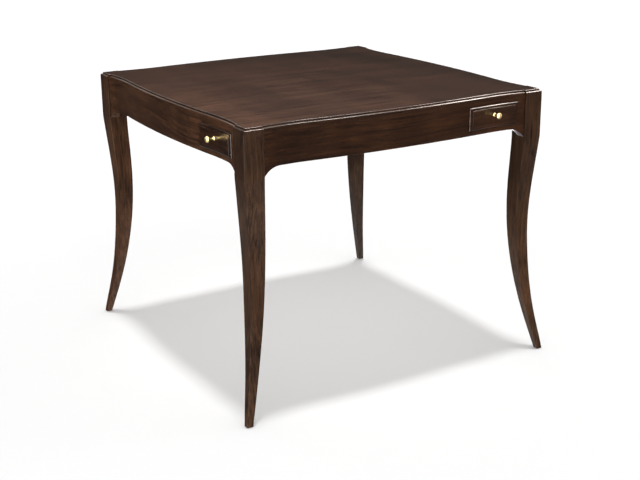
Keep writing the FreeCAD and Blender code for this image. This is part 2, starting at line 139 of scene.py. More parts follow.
def lacquered_walnut(name, grain, pith, streak_mm, spread, dark, pale, red):
    """Walnut, stained dark and sprayed with satin lacquer: long soft streaks and fine fibres along the
    grain, broad growth bands, redder patches, a painted sheen in bands across the grain, painted shade in
    the quirks, painted light by height that makes it paler towards the floor, arrises painted a little
    lighter as rubbed wear and painted highlight, and a clear coat with soft reflections. Fibres and pores
    are drawn two or three times coarser than real ones, which would not show."""
    material, tree = new_material(name)
    place = add(tree, "ShaderNodeTexCoord").outputs["Object"]
    along = add(tree, "ShaderNodeMapping", {
        "Vector": place, "Rotation": GRAIN_TURNS[grain], "Location": pith})
    # The grain wanders by up to 50 mm in waves about 400 mm long
    sway = add(tree, "ShaderNodeTexNoise", {"Vector": along, "Scale": 1 / (400 * MM), "Detail": 1.0})
    bent = add(tree, "ShaderNodeVectorMath", {
        0: sway.outputs["Color"], 1: (0, 50 * MM, 50 * MM), 2: along}, operation="MULTIPLY_ADD")

    # Each pattern's length and width in millimetres, and how many finer ones it carries
    sizes = {
        "band": (600, 8 * streak_mm, 1.0), "streak": (40 * streak_mm, streak_mm, 3.0),
        "fibre": (70, 1.3, 2.0), "pores": (16, 0.8, 0.0),
        "sheen": (90, 500, 1.0), "patch": (260, 90, 1.0),
    }
    patterns = {}
    for pattern, (length, width, detail) in sizes.items():
        stretched = add(tree, "ShaderNodeMapping", {
            "Vector": bent, "Scale": (1 / (length * MM), 1 / (width * MM), 1 / (width * MM))})
        patterns[pattern] = add(tree, "ShaderNodeTexNoise", {
            "Vector": stretched, "Scale": 1.0, "Detail": detail, "Roughness": 0.6})

    # The figure is the streaks and a quarter of the bands, whose middle value together is 0.625
    figure = add(tree, "ShaderNodeMath", {
        0: patterns["band"], 1: 0.25, 2: patterns["streak"]}, operation="MULTIPLY_ADD")
    depth = add(tree, "ShaderNodeMapRange", {
        "Value": figure, "From Min": 0.625 - spread, "From Max": 0.625 + spread})
    colour = add(tree, "ShaderNodeMix", {0: depth, 6: tone(dark), 7: tone(pale)}, data_type="RGBA")
    redness = add(tree, "ShaderNodeMapRange", {
        "Value": patterns["patch"], "From Min": 0.48, "From Max": 0.7, "To Min": 0.0, "To Max": 0.2})
    colour = add(tree, "ShaderNodeMix", {0: redness, 6: colour, 7: tone(red)}, data_type="RGBA")

    # What shades the colour: a painted sheen across the grain, fibres, pores, painted shade in the quirks,
    # and painted light by the height above the floor
    height = add(tree, "ShaderNodeSeparateXYZ", {"Vector": place}).outputs["Z"]
    # Ambient occlusion puts painted shade in the quirks and recesses
    openness = add(tree, "ShaderNodeAmbientOcclusion", {"Distance": 5 * MM}, samples=6).outputs["AO"]
    shades = [
        add(tree, "ShaderNodeValToRGB", {"Fac": source}, stops=stops) for source, stops in (
            # The sheen bands are a painted sheen, lighter and darker across the grain
            (patterns["sheen"], [(0.35, "#dcdcdc"), (0.65, "#ffffff")]),
            (patterns["fibre"], [(0.32, "#d4d4d4"), (0.68, "#ffffff")]),
            (patterns["pores"], [(0.24, "#a8a8a8"), (0.36, "#ffffff")]),
            (openness, [(0.35, "#6a6260"), (0.75, "#ffffff")]))
    ]
    # Painted light by height: paler towards the floor, darker towards the top
    shades.append(add(tree, "ShaderNodeMapRange", {
        "Value": height, "From Min": 0.3, "From Max": 0.68, "To Min": 1.25, "To Max": 0.85}))
    for shade in shades:
        colour = add(tree, "ShaderNodeMix", {
            0: 1.0, 6: colour, 7: shade}, data_type="RGBA", blend_type="MULTIPLY")

    # An arris is where a normal rounded over 1 mm turns away from the face's own
    eased_normal = add(tree, "ShaderNodeBevel", {"Radius": 1.0 * MM}, samples=4)
    own_normal = add(tree, "ShaderNodeNewGeometry").outputs["Normal"]
    turned = add(tree, "ShaderNodeVectorMath", {
        0: eased_normal, 1: own_normal}, operation="DOT_PRODUCT").outputs["Value"]
    # Arrises are painted a lighter brown: partly rubbed wear, partly painted highlight
    rubbed_and_highlit = add(tree, "ShaderNodeMapRange", {
        "Value": turned, "From Min": 0.8, "From Max": 0.98, "To Min": 0.4, "To Max": 0.0})
    colour = add(tree, "ShaderNodeMix", {0: rubbed_and_highlit, 6: colour, 7: tone("#5f4230")}, data_type="RGBA")

    rough = add(tree, "ShaderNodeMapRange", {
        "Value": patterns["streak"], "From Min": 0.3, "From Max": 0.7, "To Min": 0.36, "To Max": 0.28})
    coat = add(tree, "ShaderNodeMapRange", {
        "Value": patterns["streak"], "From Min": 0.35, "From Max": 0.65, "To Min": 0.15, "To Max": 0.75})
    relief = add(tree, "ShaderNodeMath", {0: patterns["fibre"], 1: patterns["pores"]}, operation="ADD")
    bump = add(tree, "ShaderNodeBump", {"Height": relief, "Strength": 0.06, "Distance": 0.3 * MM})
    return surfaced(material, {
        "Base Color": colour, "Roughness": rough, "Normal": bump, "Coat Weight": coat,
        "Coat Roughness": 0.12, "Specular IOR Level": 0.22})


# Where each plank's grain starts, its streaks' width in mm, how soft they are, its dark, pale and red.
# The east and west aprons are lighter than the others: partly another plank, partly painted light for the
# brighter west side.
APRON_WALNUT = {
    "x": lacquered_walnut("stained_walnut_along_x", "x", (1.9, 0.31, -0.22),
                          6.0, 0.24, "#26160b", "#53311a", "#54301a"),
    "y": lacquered_walnut("stained_walnut_along_y", "y", (0.37, 0.11, -0.52),
                          6.0, 0.2, "#362114", "#6b452b", "#683e26"),
}
# Each leg is cut from a plank of its own, and its tone is partly painted light: the north-east leg at the
# back darker, the north-west one lighter
LEG_WALNUT = {
    corner: lacquered_walnut("stained_walnut_leg_" + corner, "z", pith, 5.0, 0.2, dark, pale, "#5c3620")
    for corner, pith, dark, pale in (
        ("south_west", (0.2, 0.16, -0.12), "#271911", "#5d402b"),
        ("south_east", (1.2, 0.86, 0.52), "#261810", "#5a3d26"),
        ("north_east", (2.2, 1.46, 1.12), "#1f140e", "#4c3422"),
        ("north_west", (3.2, 2.16, 1.72), "#2c1b11", "#6a462d"))
}
DRAWER_WALNUT = {
    grain: lacquered_walnut("drawer_walnut_along_" + grain, grain, (1.37, 0.43, -0.61),
                            6.0, 0.2, "#22140b", "#4c2e1a", "#4f2c18")
    for grain in "xy"
}
VENEER = lacquered_walnut("walnut_veneer", "x", (0.7, 0.2, -1.9),
                          7.0, 0.17, "#322017", "#5d3f2e", "#573523")


def maple(name, grain, pale, deep):
    """Maple, planed or sanded: pale and close grained, with faint streaks about 7 mm wide that carry finer
    ones, and a low sheen."""
    material, tree = new_material(name)
    place = add(tree, "ShaderNodeTexCoord").outputs["Object"]
    along = add(tree, "ShaderNodeMapping", {"Vector": place, "Rotation": GRAIN_TURNS[grain]})
    length, width = 200 * MM, 7.143 * MM
    stretched = add(tree, "ShaderNodeMapping", {
        "Vector": along, "Scale": (1 / length, 1 / width, 1 / width)})
    fibre = add(tree, "ShaderNodeTexNoise", {
        "Vector": stretched, "Scale": 1.0, "Detail": 4.0, "Roughness": 0.6})
    colour = add(tree, "ShaderNodeValToRGB", {"Fac": fibre}, stops=[(0.3, deep), (0.7, pale)])
    rough = add(tree, "ShaderNodeMapRange", {
        "Value": fibre, "From Min": 0.3, "From Max": 0.7, "To Min": 0.6, "To Max": 0.45})
    bump = add(tree, "ShaderNodeBump", {"Height": fibre, "Strength": 0.1, "Distance": 0.3 * MM})
    return surfaced(material, {"Base Color": colour, "Roughness": rough, "Normal": bump})


RUNNER_MAPLE = {g: maple("runner_maple_along_" + g, g, "#bd9867", "#a27c4d") for g in "xy"}
DRAWER_MAPLE = {g: maple("drawer_maple_along_" + g, g, "#d7b98a", "#c29e6b") for g in "xy"}


def cloudy_metal(name, cloud_mm, dull, bright, dull_rough, bright_rough):
    """A metal whose colour and sheen drift a little, in clouds of some millimetres."""
    material, tree = new_material(name)
    place = add(tree, "ShaderNodeTexCoord").outputs["Object"]
    cloud = add(tree, "ShaderNodeTexNoise", {"Vector": place, "Scale": 1 / (cloud_mm * MM), "Detail": 3.0})
    colour = add(tree, "ShaderNodeValToRGB", {"Fac": cloud}, stops=[(0.3, dull), (0.7, bright)])
    rough = add(tree, "ShaderNodeMapRange", {
        "Value": cloud, "From Min": 0.3, "From Max": 0.7, "To Min": dull_rough, "To Max": bright_rough})
    return surfaced(material, {"Base Color": colour, "Roughness": rough, "Metallic": 1.0})


# Turned and polished brass: pale gold with a soft bright sheen, a little duller where it is handled
BRASS = cloudy_metal("polished_brass", 3.333, "#d6b874", "#efdfb2", 0.36, 0.26)
# Zinc plated steel: cool grey, with a soft cloudy sheen
STEEL = cloudy_metal("zinc_steel", 2.5, "#9a9b9c", "#c6c7c4", 0.42, 0.28)


def glide_nylon():
    """Moulded nylon: near black, dull, with a faint grain about 1 mm wide from the mould, drawn several
    times coarser than a real one, which would not show."""
    material, tree = new_material("glide_nylon")
    place = add(tree, "ShaderNodeTexCoord").outputs["Object"]
    grit = add(tree, "ShaderNodeTexNoise", {"Vector": place, "Scale": 1 / (1.111 * MM), "Detail": 2.0})
    colour = add(tree, "ShaderNodeValToRGB", {"Fac": grit}, stops=[(0.3, "#1d1a18"), (0.7, "#2b2724")])
    bump = add(tree, "ShaderNodeBump", {"Height": grit, "Strength": 0.2, "Distance": 0.1 * MM})
    return surfaced(material, {"Base Color": colour, "Normal": bump, "Roughness": 0.55})


def birch_plywood():
    """Birch plywood, sanded and lacquered: pale, faintly rippled faces, and thin dark glue lines between
    the plies in its edges."""
    material, tree = new_material("birch_plywood")
    place = add(tree, "ShaderNodeTexCoord").outputs["Object"]
    length, width, ply = 111.1 * MM, 16.67 * MM, 1.333 * MM
    stretched = add(tree, "ShaderNodeMapping", {
        "Vector": place, "Scale": (1 / length, 1 / width, 1 / width)})
    ripple = add(tree, "ShaderNodeTexNoise", {
        "Vector": stretched, "Scale": 1.0, "Detail": 3.0, "Distortion": 1.5})
    colour = add(tree, "ShaderNodeValToRGB", {"Fac": ripple}, stops=[(0.3, "#c9a878"), (0.7, "#dcc196")])
    height = add(tree, "ShaderNodeSeparateXYZ", {"Vector": place}).outputs["Z"]
    in_ply = add(tree, "ShaderNodeMath", {0: height, 1: ply}, operation="FLOORED_MODULO")
    line = add(tree, "ShaderNodeMapRange", {
        "Value": in_ply, "From Min": 0.15 * MM, "From Max": 0.3 * MM, "To Min": 1.0, "To Max": 0.0})
    own_normal = add(tree, "ShaderNodeNewGeometry").outputs["Normal"]
    upward = add(tree, "ShaderNodeSeparateXYZ", {"Vector": own_normal}).outputs["Z"]
    level = add(tree, "ShaderNodeMath", {0: upward}, operation="ABSOLUTE")
    edge = add(tree, "ShaderNodeMath", {0: level, 1: 0.5}, operation="LESS_THAN")
    glue = add(tree, "ShaderNodeMath", {0: line, 1: edge}, operation="MULTIPLY")
    colour = add(tree, "ShaderNodeMix", {0: glue, 6: colour, 7: tone("#7d5a36")}, data_type="RGBA")
    rough = add(tree, "ShaderNodeMapRange", {
        "Value": ripple, "From Min": 0.3, "From Max": 0.7, "To Min": 0.5, "To Max": 0.4})
    return surfaced(material, {"Base Color": colour, "Roughness": rough})


NYLON = glide_nylon()
PLYWOOD = birch_plywood()


def coated(mesh, *materials):
    for material in materials:
        mesh.materials.append(material)
    return mesh


def piece(name, mesh, body, slot, *replaced):
    """An object for a mesh, which rides on a body and stands for CAD nodes."""
    mesh.name = name
    made = bpy.data.objects.new(name, mesh)
    scene.collection.objects.link(made)
    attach(made, body)
    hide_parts(*replaced)
    return made


def evaluated(blank):
    """The plain mesh of an object as its modifiers leave it. The object is thrown away."""
    scene.collection.objects.link(blank)
    graph = bpy.context.evaluated_depsgraph_get()
    mesh = bpy.data.meshes.new_from_object(blank.evaluated_get(graph), depsgraph=graph)
    bpy.data.objects.remove(blank)
    return mesh


def smoothed(mesh):
    """Rounds shaded smooth, and edges sharper than those between a round's facets left sharp."""
    mesh.shade_smooth()
    mesh.set_sharp_from_angle(angle=SHARP_FROM)
    return mesh


def finished(shape, ease=0.0):
    """A mesh of a closed shape, with its sharp arrises eased by some millimetres."""
    bmesh.ops.remove_doubles(shape, verts=shape.verts, dist=SAME_POINT)
    bmesh.ops.dissolve_degenerate(shape, edges=shape.edges, dist=SAME_POINT / 2)
    bmesh.ops.recalc_face_normals(shape, faces=shape.faces)
    mesh = bpy.data.meshes.new("blank")
    shape.to_mesh(mesh)
    shape.free()
    blank = bpy.data.objects.new("blank", smoothed(mesh))
    if ease:
        bevel = blank.modifiers.new("ease", "BEVEL")
        bevel.width = ease * MM
        bevel.segments = 2
        bevel.limit_method = "ANGLE"
        bevel.angle_limit = EASED_FROM
        bevel.harden_normals = True
        weld = blank.modifiers.new("weld", "WELD")
        weld.merge_threshold = 2 * SAME_POINT
    even = blank.modifiers.new("even", "WEIGHTED_NORMAL")
    even.keep_sharp = True
    return evaluated(blank)


def eased(node, ease):
    """A merged copy of a CAD node's mesh with its arrises eased."""
    shape = bmesh.new()
    shape.from_mesh(nodes[node].data)
    bmesh.ops.remove_doubles(shape, verts=shape.verts, dist=SAME_POINT)
    bmesh.ops.dissolve_limit(
        shape, angle_limit=math.radians(1), verts=shape.verts, edges=shape.edges)
    return finished(shape, ease)


def steps(start, end, count):
    return [start + (end - start) * i / count for i in range(count + 1)]


def swept(shape, sections, ends=True, ladder=False):
    """Skins closed sections one after another. Each end is left open, or closed with one face or with a
    ladder of faces between the two halves of its section."""
    rows = [[shape.verts.new([v * MM for v in point]) for point in section] for section in sections]
    count = len(rows[0])
    for a, b in zip(rows, rows[1:]):
        for i in range(count):
            j = (i + 1) % count
            shape.faces.new((a[i], a[j], b[j], b[i]))
    for row in (rows[0], rows[-1]) if ends else ():
        if ladder:
            for i in range(count // 2 - 1):
                shape.faces.new((row[i], row[i + 1], row[-2 - i], row[-1 - i]))
        else:
            shape.faces.new(row)


def boxed(shape, *spans):
    """A box from its spans in x, y and z."""
    size = Matrix.Diagonal([(b - a) * MM for a, b in spans]).to_4x4()
    middle = Matrix.Translation([(a + b) / 2 * MM for a, b in spans])
    bmesh.ops.create_cube(shape, size=1.0, matrix=middle @ size)


def quarter_turned(mesh, quarters):
    copy = mesh.copy()
    copy.transform(Matrix.Rotation(quarters * QUARTER, 4, "Z"))
    return copy


def face_y(x, out):
    """Where the serpentine face is at x, moved outwards by out."""
    turn_x = HOLLOW_X * (BOW_RADIUS + out) / CENTRES_APART
    if abs(x) <= turn_x:
        return BOW_CENTRE_Y - math.sqrt((BOW_RADIUS + out) ** 2 - x**2)
    return HOLLOW_CENTRE_Y + math.sqrt((HOLLOW_RADIUS - out) ** 2 - (abs(x) - HOLLOW_X) ** 2)


def rounded_corner(half, inset, turn):
    """A point on the rounded south-west corner of a square, inset from it, an angle from its south side."""
    radius = max(CORNER_ROUND - inset, 0)
    middle = half - max(CORNER_ROUND, inset)
    return -middle - radius * math.sin(turn), -middle - radius * math.cos(turn)


def field_outline(inset, z):
    """The outline of the top's field, inset and at a height. It steps in at each seam as the frame does."""
    half, step_x = HALF_SPAN - EDGE_WIDTH, SEAM + inset
    side = [rounded_corner(half, inset, t) for t in steps(QUARTER, 0, CORNER_STEPS)]
    side += [(-step_x, inset - half)]
    side += [(x, face_y(x, -EDGE_WIDTH - inset)) for x in steps(-step_x, step_x, SERPENTINE_STEPS)]
    side += [(step_x, inset - half)]
    outline = []
    for quarter in range(4):
        outline += side
        side = [(-y, x) for x, y in side]
    return [(x, y, z) for x, y in outline]


def top_field():
    """The flat veneered board inside the lipping."""
    shape = bmesh.new()
    swept(shape, [field_outline(FIELD_ARRIS, z) for z in (UNDERSIDE, TABLE_HEIGHT)])
    return finished(shape)


def top_lipping():
    """The narrow lipping round the board, with a rounded arris."""
    sections = [field_outline(FIELD_ARRIS, UNDERSIDE), field_outline(0, UNDERSIDE)]
    for turn in steps(0, QUARTER, LIPPING_STEPS):
        back = FIELD_ARRIS * (1 - math.cos(turn))
        down = FIELD_ARRIS * (1 - math.sin(turn))
        sections.append(field_outline(back, TABLE_HEIGHT - down))
    shape = bmesh.new()
    swept(shape, sections + sections[:1], ends=False)
    return finished(shape)


def moulded_edge():
    """The south side's moulded edge: a serpentine run, and an ear over each post with a mitred end."""
    crown = TABLE_HEIGHT - BEAD_DROP
    inner = EDGE_WIDTH - EDGE_GAP
    profile = [
        (BEAD_RADIUS * (1 - math.sin(t)), crown - BEAD_RADIUS * (1 - math.cos(t)))
        for t in steps(0, QUARTER, ROUND_STEPS)
    ]
    profile += [(0, UNDERSIDE), (inner, UNDERSIDE), (inner, crown)]
    run = [[(x, face_y(x, -t), z) for t, z in profile] for x in steps(-SEAM, SEAM, SERPENTINE_STEPS)]
    shape = bmesh.new()
    swept(shape, run)
    for hand in (1, -1):
        ear = [[(-SEAM * hand, t - HALF_SPAN, z) for t, z in profile]]
        for turn in steps(0, QUARTER / 2, EAR_STEPS):
            corners = [rounded_corner(HALF_SPAN, t, turn) for t, z in profile]
            ear.append([(x * hand, y, z) for (x, y), (t, z) in zip(corners, profile)])
        swept(shape, ear)
    mesh = finished(shape)
    # The first coat is the run's, the others those of the left and the right ear
    for face in mesh.polygons:
        face.material_index = 0 if abs(face.center.x) < SEAM * MM else 1 if face.center.x < 0 else 2
    return mesh


def shaped_apron():
    """The south side's apron: a serpentine face, coves down to the posts, the drawer's opening, tenons."""
    cove_run = math.sqrt(BRACKET_RADIUS**2 - (BRACKET_RADIUS - BRACKET_DROP) ** 2)
    cove_turn = math.asin(cove_run / BRACKET_RADIUS)
    cove_from = SEAM - cove_run
    coves = [cove_from + BRACKET_RADIUS * math.sin(t) for t in steps(0, cove_turn, COVE_STEPS)][1:]
    xs = steps(-cove_from, cove_from, APRON_STEPS) + coves + [-x for x in coves]
    arris = [(1 - math.sin(t), 1 - math.cos(t)) for t in steps(0, QUARTER, ARRIS_STEPS)]
    shape = bmesh.new()
    columns = []
    for x in sorted(xs + [OPEN_LEFT, OPEN_RIGHT]):
        into = max(abs(x) - cove_from, 0)
        low = APRON_BOTTOM - BRACKET_RADIUS + math.sqrt(BRACKET_RADIUS**2 - into**2)
        points = [(face_y(x, -APRON_ARRIS * out), low + APRON_ARRIS * up) for out, up in arris]
        points += [(face_y(x, 0), z) for z in (OPEN_LOW, OPEN_TOP, UNDERSIDE)]
        columns.append([shape.verts.new((x * MM, y * MM, z * MM)) for y, z in points])
    opening_row = len(columns[0]) - 3
    for a, b in zip(columns, columns[1:]):
        middle = (a[0].co.x + b[0].co.x) / 2 / MM
        for row in range(len(a) - 1):
            if row == opening_row and OPEN_LEFT < middle < OPEN_RIGHT:
                continue
            shape.faces.new((a[row], b[row], b[row + 1], a[row + 1]))
    rims = [edge.verts[:] for edge in shape.edges if edge.is_boundary]
    behind = {v: shape.verts.new((v.co.x, APRON_BACK_Y * MM, v.co.z)) for v in list(shape.verts)}
    for face in list(shape.faces):
        shape.faces.new([behind[v] for v in reversed(face.verts)])
    for a, b in rims:
        shape.faces.new((a, b, behind[b], behind[a]))
    for end in (-SEAM - TENON_LENGTH, SEAM):
        boxed(shape, (end, end + TENON_LENGTH), (TENON_Y, TENON_Y + TENON_THICKNESS),
              (APRON_BOTTOM + TENON_SHOULDER, UNDERSIDE - TENON_SHOULDER))
    return finished(shape)


def front_ring(inset, out):
    """The outline of the south drawer's front, inset from its edge and moved outwards by out."""
    xs = steps(FRONT_LEFT + inset, FRONT_RIGHT - inset, FRONT_STEPS)
    low = [(x, face_y(x, out), FRONT_LOW + inset) for x in xs]
    top = [(x, face_y(x, out), FRONT_TOP - inset) for x in xs]
    return low + top[::-1]


def fielded_front():
    """The south drawer's front: a rebated plug, a lip with rounded edges over it, and a raised field."""
    left, right = FRONT_LEFT + PLUG_INSET, FRONT_RIGHT - PLUG_INSET
    inner_left, inner_right = left + SIDE_THICKNESS, right - SIDE_THICKNESS
    back = [(left, REBATE_Y), (inner_left, REBATE_Y)]
    # Two points at each end are the rebates', so the plug has as many points as the rings in front of it
    back += [(x, FRONT_BACK_Y) for x in steps(inner_left, inner_right, FRONT_STEPS - 4)]
    back += [(inner_right, REBATE_Y), (right, REBATE_Y)]
    low, top = FRONT_LOW + PLUG_INSET, FRONT_TOP - PLUG_INSET
    rings = []
    for line in (back, [(x, face_y(x, LIP_GAP)) for x, y in back]):
        rings.append([(x, y, low) for x, y in line] + [(x, y, top) for x, y in line[::-1]])
    rings.append(front_ring(0, LIP_GAP))
    for inset, lift, radius in ((0, LIP_LIFT, LIP_ROUND), (FRONT_BORDER, FIELD_LIFT, FIELD_ROUND)):
        for turn in steps(0, QUARTER, ROUND_STEPS):
            in_by = radius * (1 - math.cos(turn))
            down_by = radius * (1 - math.sin(turn))
            rings.append(front_ring(inset + in_by, lift - down_by))
        if inset == 0:
            rings.append(front_ring(FRONT_BORDER, LIP_LIFT))
    shape = bmesh.new()
    swept(shape, rings, ladder=True)
    return finished(shape)


def arc_through(first, second, third, count):
    """Points on the arc through three points, as complex numbers."""
    a, b, c = (complex(*point) for point in (first, second, third))
    ratio = (c - a) / (b - a)
    middle = a + (b - a) * (ratio - abs(ratio) ** 2) / complex(0, 2 * ratio.imag)
    part = cmath.phase((b - middle) / (a - middle))
    whole = part + cmath.phase((c - middle) / (b - middle))
    return [middle + (a - middle) * cmath.exp(1j * turn) for turn in steps(0, whole, count)]


def turned_knob():
    """The south drawer's knob, turned in one piece: a collar, a waist and a domed head."""
    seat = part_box("knob_south")[1][1] / MM
    # Arcs through three points each, as shares of the radius and of the projection
    curves = [
        [(0.54, 0.0), (0.66, 0.08), (0.42, 0.17)],
        [(0.42, 0.17), (0.33, 0.38), (0.46, 0.62)],
        [(0.46, 0.62), (1.0, 0.795), (0.46, 0.97)],
        [(0.46, 0.97), (0.24, 0.992), (0.02, 1.0)],
    ]
    sections = []
    for curve in curves:
        through = [(r * KNOB_RADIUS, d * KNOB_PROJECTION) for r, d in curve]
        for point in arc_through(*through, KNOB_ARC_STEPS):
            sections.append([
                (KNOB_X + point.real * math.cos(t), seat - point.imag, KNOB_Z + point.real * math.sin(t))
                for t in steps(0, 2 * math.pi, KNOB_FACETS)[:-1]
            ])
    shape = bmesh.new()
    swept(shape, sections)
    return finished(shape)


def geometry_tree(name, sizes):
    """A Geometry Nodes tree with places, sizes and a material as its inputs."""
    tree = bpy.data.node_groups.new(name, "GeometryNodeTree")
    tree.interface.new_socket("Places", in_out="INPUT", socket_type="NodeSocketGeometry")
    for size in sizes:
        tree.interface.new_socket(size, in_out="INPUT", socket_type="NodeSocketFloat")
    tree.interface.new_socket("Material", in_out="INPUT", socket_type="NodeSocketMaterial")
    tree.interface.new_socket("Pieces", in_out="OUTPUT", socket_type="NodeSocketGeometry")
    return tree, add(tree, "NodeGroupInput").outputs


def stacked(tree, parts):
    """Parts, each moved up by its height, united into one closed shape."""
    raised = []
    for part, height in parts:
        lift = add(tree, "ShaderNodeCombineXYZ", {"Z": height})
        raised.append(add(tree, "GeometryNodeTransform", {"Geometry": part, "Translation": lift}))
    return add(tree, "GeometryNodeMeshBoolean", {"Mesh": raised}, operation="UNION", solver="EXACT")


def planted(tree, given, one):
    """Ends a tree: one, made in millimetres, stands on every place, along its aim and with its own spin."""
    aim = add(tree, "GeometryNodeInputNamedAttribute", {"Name": "aim"}, data_type="FLOAT_VECTOR")
    aimed = add(tree, "FunctionNodeAlignRotationToVector", {"Vector": aim}, axis="Z")
    spin = add(tree, "FunctionNodeRandomValue", {2: 0.0, 3: 2 * math.pi, "Seed": 7}, data_type="FLOAT")
    turn = add(tree, "FunctionNodeAxisAngleToRotation", {"Axis": (0, 0, 1), "Angle": spin})
    spun = add(tree, "FunctionNodeRotateRotation", {
        "Rotation": aimed, "Rotate By": turn}, rotation_space="LOCAL")
    spread = add(tree, "GeometryNodeInstanceOnPoints", {
        "Points": given["Places"], "Instance": one, "Rotation": spun, "Scale": (MM, MM, MM)})
    real = add(tree, "GeometryNodeRealizeInstances", {"Geometry": spread})
    coloured = add(tree, "GeometryNodeSetMaterial", {"Geometry": real, "Material": given["Material"]})
    add(tree, "NodeGroupOutput", {"Pieces": coloured})
    return tree


# The core starts inside the head and the point inside the core, a little narrower than it. The thread
# takes part of the core's length and runs out a little before the point.
CORE_START_SHARE, THREAD_SHARE, THREAD_RUNOUT, POINT_WIDTH_SHARE, POINT_SUNK = 0.8, 0.65, 1.05, 0.95, 0.5
SCREW_HEAD_FACETS, SHANK_FACETS, NAIL_HEAD_FACETS = 28, 16, 40


def screw_tree():
    """A screw, head down at its place: a coned head with a cross recess, a core, a point and a thread."""
    tree, given = geometry_tree("screw", (
        "Face Radius", "Neck Radius", "Head Height", "Core Radius", "Length", "Point Length",
        "Thread Pitch", "Thread Depth", "Recess Length", "Recess Width", "Recess Depth"))
    head = add(tree, "GeometryNodeMeshCone", {
        "Vertices": SCREW_HEAD_FACETS, "Radius Bottom": given["Face Radius"],
        "Radius Top": given["Neck Radius"], "Depth": given["Head Height"]})
    point_at = add(tree, "ShaderNodeMath", {
        0: given["Length"], 1: given["Point Length"]}, operation="SUBTRACT")
    core_from = add(tree, "ShaderNodeMath", {
        0: given["Head Height"], 1: CORE_START_SHARE}, operation="MULTIPLY")
    core_length = add(tree, "ShaderNodeMath", {0: point_at, 1: core_from}, operation="SUBTRACT")
    core_at = add(tree, "ShaderNodeMath", {0: core_length, 1: 0.5, 2: core_from}, operation="MULTIPLY_ADD")
    core = add(tree, "GeometryNodeMeshCylinder", {
        "Vertices": SHANK_FACETS, "Radius": given["Core Radius"], "Depth": core_length})
    point_from = add(tree, "ShaderNodeMath", {0: point_at, 1: POINT_SUNK}, operation="SUBTRACT")
    point_length = add(tree, "ShaderNodeMath", {
        0: given["Point Length"], 1: POINT_SUNK}, operation="ADD")
    point_radius = add(tree, "ShaderNodeMath", {
        0: given["Core Radius"], 1: POINT_WIDTH_SHARE}, operation="MULTIPLY")
    point = add(tree, "GeometryNodeMeshCone", {
        "Vertices": SHANK_FACETS, "Radius Bottom": point_radius, "Radius Top": 0.05,
        "Depth": point_length})
    thread_length = add(tree, "ShaderNodeMath", {0: core_length, 1: THREAD_SHARE}, operation="MULTIPLY")
    thread_at = add(tree, "ShaderNodeMath", {
        0: thread_length, 1: -THREAD_RUNOUT, 2: point_at}, operation="MULTIPLY_ADD")
    turns = add(tree, "ShaderNodeMath", {
        0: thread_length, 1: given["Thread Pitch"]}, operation="DIVIDE")
    line = add(tree, "GeometryNodeCurveSpiral", {
        "Resolution": 12, "Rotations": turns, "Start Radius": given["Core Radius"],
        "End Radius": given["Core Radius"], "Height": thread_length})
    ridge = add(tree, "GeometryNodeCurvePrimitiveCircle", {
        "Resolution": 4, "Radius": given["Thread Depth"]})
    thread = add(tree, "GeometryNodeCurveToMesh", {
        "Curve": line, "Profile Curve": ridge, "Fill Caps": True})
    whole = stacked(tree, [(head, 0.0), (core, core_at), (point, point_from), (thread, thread_at)])
    # Two crossed bars, half above the head's face, cut the recess
    bar_depth = add(tree, "ShaderNodeMath", {0: given["Recess Depth"], 1: 2.0}, operation="MULTIPLY")
    bars = []
    for across, along in (("Recess Length", "Recess Width"), ("Recess Width", "Recess Length")):
        size = add(tree, "ShaderNodeCombineXYZ", {"X": given[across], "Y": given[along], "Z": bar_depth})
        bars.append(add(tree, "GeometryNodeMeshCube", {"Size": size}))
    sunk = add(tree, "GeometryNodeMeshBoolean", {
        "Mesh 1": whole, "Mesh 2": bars}, operation="DIFFERENCE", solver="EXACT")
    return planted(tree, given, sunk)


def nail_tree():
    """A nail, head down at its place: a flat head with an eased rim, and a pointed shank."""
    tree, given = geometry_tree("nail", (
        "Head Radius", "Head Height", "Rim Ease", "Shank Radius", "Shank Length"))
    face_radius = add(tree, "ShaderNodeMath", {
        0: given["Head Radius"], 1: given["Rim Ease"]}, operation="SUBTRACT")
    rim = add(tree, "GeometryNodeMeshCone", {
        "Vertices": NAIL_HEAD_FACETS, "Radius Bottom": face_radius, "Radius Top": given["Head Radius"],
        "Depth": given["Rim Ease"]})
    band_height = add(tree, "ShaderNodeMath", {
        0: given["Head Height"], 1: given["Rim Ease"]}, operation="SUBTRACT")
    band_at = add(tree, "ShaderNodeMath", {
        0: band_height, 1: 0.5, 2: given["Rim Ease"]}, operation="MULTIPLY_ADD")
    band = add(tree, "GeometryNodeMeshCylinder", {
        "Vertices": NAIL_HEAD_FACETS, "Radius": given["Head Radius"], "Depth": band_height})
    shank = add(tree, "GeometryNodeMeshCone", {
        "Vertices": SHANK_FACETS, "Radius Bottom": given["Shank Radius"], "Radius Top": 0.1,
        "Depth": given["Shank Length"]})
    return planted(tree, given, stacked(tree, [(rim, 0.0), (band, band_at), (shank, band_at)]))


def grown(tree, places, material, **sizes):
    """The plain mesh of a tree on places, each a point and a direction, with its sizes in millimetres."""
    mesh = bpy.data.meshes.new("places")
    mesh.from_pydata([place for place, aim in places], [], [])
    aims = mesh.attributes.new("aim", "FLOAT_VECTOR", "POINT")
    for row, (place, aim) in zip(aims.data, places):
        row.vector = aim
    blank = bpy.data.objects.new("places", mesh)
    modifier = blank.modifiers.new("grown", "NODES")
    modifier.node_group = tree
    values = {"material": material, **sizes}
    for item in tree.interface.items_tree:
        size = item.name.replace(" ", "_").lower()
        if size in values:
            modifier[item.identifier] = values[size]
    return smoothed(evaluated(blank))


